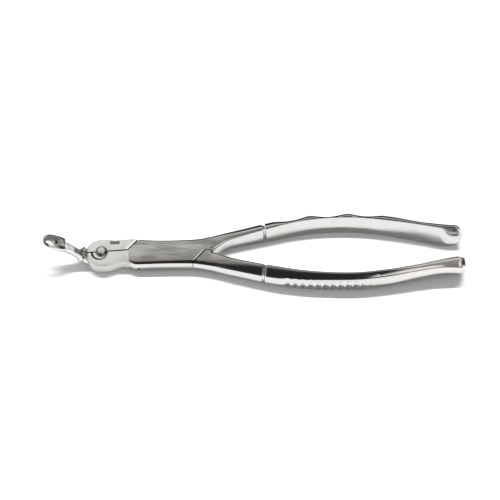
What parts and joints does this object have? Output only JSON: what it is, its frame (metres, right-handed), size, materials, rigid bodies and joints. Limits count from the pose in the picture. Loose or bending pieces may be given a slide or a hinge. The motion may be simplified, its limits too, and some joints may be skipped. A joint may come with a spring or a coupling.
{
  "type": "extraction forceps",
  "caption": "Dental extraction forceps: two crossing steel halves on a flush hinge rivet, with upturned hollow beaks, a round knuckle and bowed finger-shaped handles.",
  "frame": {"origin": "the point where the hinge axis meets the box's flat underside", "axes": "+X along the length towards the handle ends, +Z along the hinge axis towards the side that the beaks rise to, +Y towards the upper half's handle"},
  "size_m": [0.1757, 0.0338, 0.0207],
  "materials": {
    "upper_half_steel": "mirror-polished handle and beak, satin-ground box and arm",
    "lower_half_steel": "mirror-polished handle and beak, satin-ground box and arm",
    "rivet_steel": "ground flush with the box, satin",
    "pin_steel": "turned, satin crown and dark-reflecting cone"
  },
  "bodies": {
    "lower": {"lower_half": "lower_half_steel", "hinge_rivet": "rivet_steel", "guide_pin": "pin_steel"},
    "upper": {"upper_half": "upper_half_steel"}
  },
  "joints": [
    {"name": "hinge", "type": "hinge", "parent": "lower", "child": "upper", "pos_m": [0, 0, 0], "axis": [0, 0, 1], "range_deg": [0, 30]}
  ]
}
